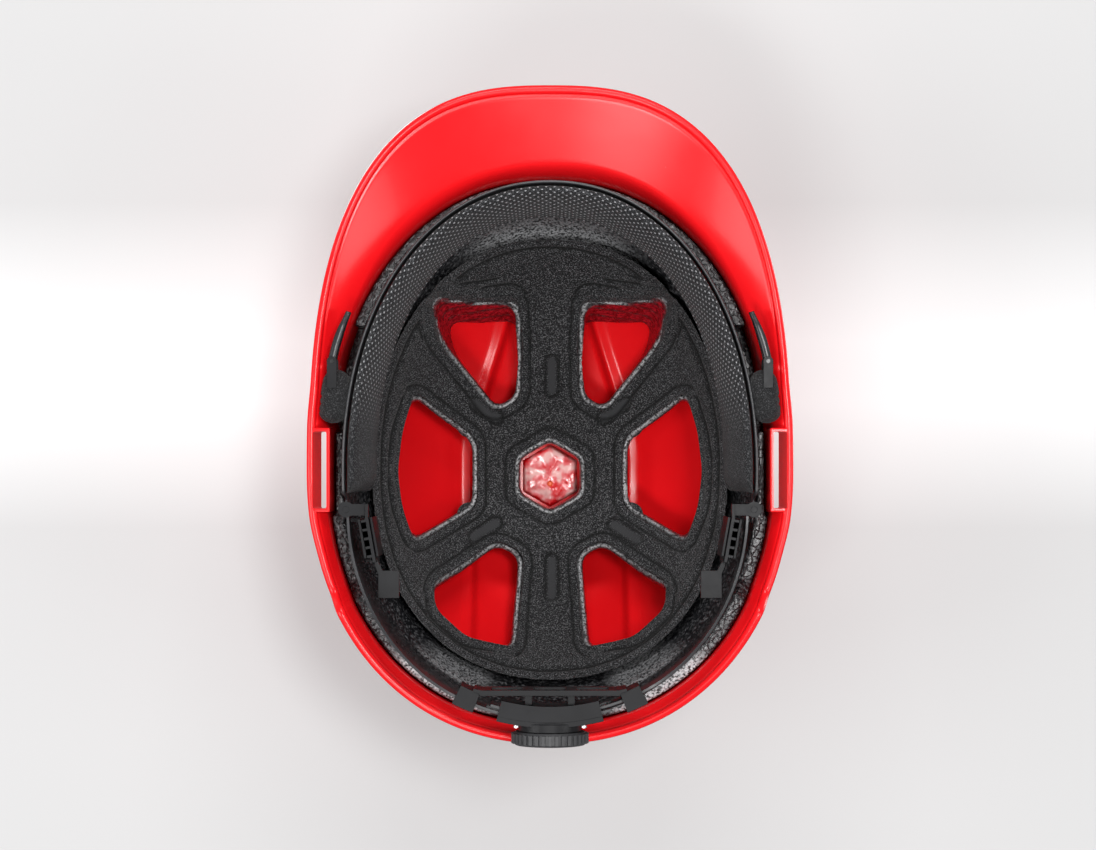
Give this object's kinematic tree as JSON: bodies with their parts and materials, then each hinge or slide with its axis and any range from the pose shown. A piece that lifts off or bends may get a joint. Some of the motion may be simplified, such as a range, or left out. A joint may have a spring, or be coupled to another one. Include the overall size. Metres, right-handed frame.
{
  "type": "arborist helmet",
  "caption": "Arborist climbing helmet with a peaked shell, foam liner, crown and brow pads and a rear ratchet that tightens the headband.",
  "frame": {"origin": "middle of the helmet's box at the height of its lowest point, the bottom of the ratchet knob", "axes": "+Z to the crown, -Y to the peak, +X to the wearer's left"},
  "size_m": [0.2212, 0.3014, 0.1981],
  "materials": {
    "shell": "glossy deep red moulded shell",
    "foam": "black expanded foam beads with a glossy moulded skin",
    "pad_fabric": "black knitted fabric over foam",
    "brow_fabric": "black spacer mesh fabric over foam",
    "block_fabric": "black knitted fabric roll",
    "fastener": "hook tape",
    "band": "black satin nylon",
    "dark_plastic": "black nylon",
    "grey_plastic": "dark grey glossy nylon",
    "tab_plastic": "mid grey nylon",
    "knob": "black rubbery plastic",
    "steel": "plated steel"
  },
  "bodies": {
    "helmet": {"outer_shell": "shell", "eps_liner": "foam", "crown_pad": "pad_fabric", "pad_fasteners": "fastener", "headband_front": "band", "brow_pad": "brow_fabric", "suspension_block_left": "block_fabric", "latch_yoke_left": "dark_plastic", "latch_pin_left": "steel", "height_rail_left": "dark_plastic", "suspension_block_right": "block_fabric", "latch_yoke_right": "dark_plastic", "latch_pin_right": "steel", "height_rail_right": "dark_plastic"},
    "height_carriage": {"side_slider_left": "dark_plastic", "side_tab_left": "tab_plastic", "strap_pivot_pin_left": "dark_plastic", "side_slider_right": "dark_plastic", "side_tab_right": "tab_plastic", "strap_pivot_pin_right": "dark_plastic"},
    "left_rack": {"rack_strap_left": "band"},
    "right_rack": {"rack_strap_right": "band"},
    "rear_adjuster": {"ratchet_housing": "dark_plastic", "ratchet_cover": "dark_plastic", "housing_screws": "steel", "nape_cradle": "dark_plastic", "strap_keeper_left": "dark_plastic", "strap_keeper_right": "dark_plastic"},
    "dial": {"adjuster_knob": "knob", "pinion_gear": "grey_plastic", "click_spring": "steel", "axle_screw": "steel"},
    "left_latch": {"suspension_latch_left": "grey_plastic"},
    "right_latch": {"suspension_latch_right": "grey_plastic"}
  },
  "joints": [
    {"name": "height_adjust", "type": "slide", "parent": "helmet", "child": "height_carriage", "axis": [0, 0, 1], "range_m": [-0.012, 0]},
    {"name": "size_slide", "type": "slide", "parent": "height_carriage", "child": "rear_adjuster", "axis": [0, 1, 0], "range_m": [-0.008, 0.006]},
    {"name": "strap_swing_left", "type": "hinge", "parent": "height_carriage", "child": "left_rack", "pos_m": [0.093, 0.04425, 0.0498], "axis": [0, 0, 1], "range_deg": [-4.2, 5.4]},
    {"name": "strap_swing_right", "type": "hinge", "parent": "height_carriage", "child": "right_rack", "pos_m": [-0.093, 0.04425, 0.0498], "axis": [0, 0, 1], "range_deg": [-5.4, 4.2]},
    {"name": "knob_turn", "type": "hinge", "parent": "rear_adjuster", "child": "dial", "pos_m": [0, 0.14525, 0.0173], "axis": [0, 1, 0], "range_deg": [-98, 74]},
    {"name": "latch_flex_left", "type": "hinge", "parent": "helmet", "child": "left_latch", "pos_m": [0.0994, -0.02335, 0.04655], "axis": [0, 0, 1], "range_deg": [0, 8], "stiffness_Nm_per_rad": 0.05},
    {"name": "latch_flex_right", "type": "hinge", "parent": "helmet", "child": "right_latch", "pos_m": [-0.0994, -0.02335, 0.04655], "axis": [0, 0, 1], "range_deg": [-8, 0], "stiffness_Nm_per_rad": 0.05}
  ],
  "couplings": [
    {"joint": "strap_swing_left", "follows": "size_slide", "rad_per_m": -10.753},
    {"joint": "strap_swing_right", "follows": "size_slide", "rad_per_m": 10.753},
    {"joint": "knob_turn", "follows": "size_slide", "rad_per_m": 210}
  ]
}
